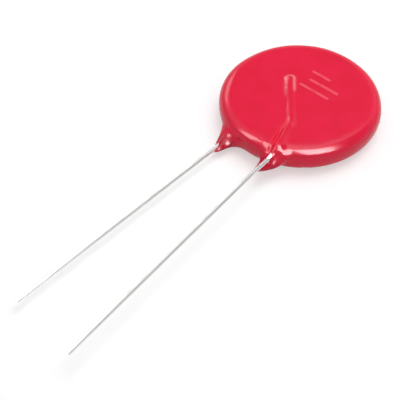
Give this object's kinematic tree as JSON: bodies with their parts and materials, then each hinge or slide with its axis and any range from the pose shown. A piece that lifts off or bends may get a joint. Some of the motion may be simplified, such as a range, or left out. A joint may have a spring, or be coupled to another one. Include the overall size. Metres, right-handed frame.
{
  "type": "disc varistor",
  "caption": "Through-hole disc varistor: a zinc oxide disc with soldered wire leads in a red dipped epoxy coat, for clamping voltage surges.",
  "frame": {"origin": "middle of the bounding box at its lowest point, which is the top of the wire ridge on the back face", "axes": "+Z is the front face's normal, the leads point along -Y, and X runs across them"},
  "size_m": [0.0225, 0.0602, 0.0045],
  "materials": {
    "epoxy": "glossy dipped epoxy",
    "zinc_oxide": "sintered, matt",
    "silver": "fired silver, satin",
    "solder": "bright tin solder",
    "tinned_wire": "bright tin plate"
  },
  "bodies": {
    "root": {"coat": "epoxy", "ceramic_disc": "zinc_oxide", "front_electrode": "silver", "back_electrode": "silver", "front_solder": "solder", "back_solder": "solder", "front_lead": "tinned_wire", "back_lead": "tinned_wire"}
  },
  "joints": []
}
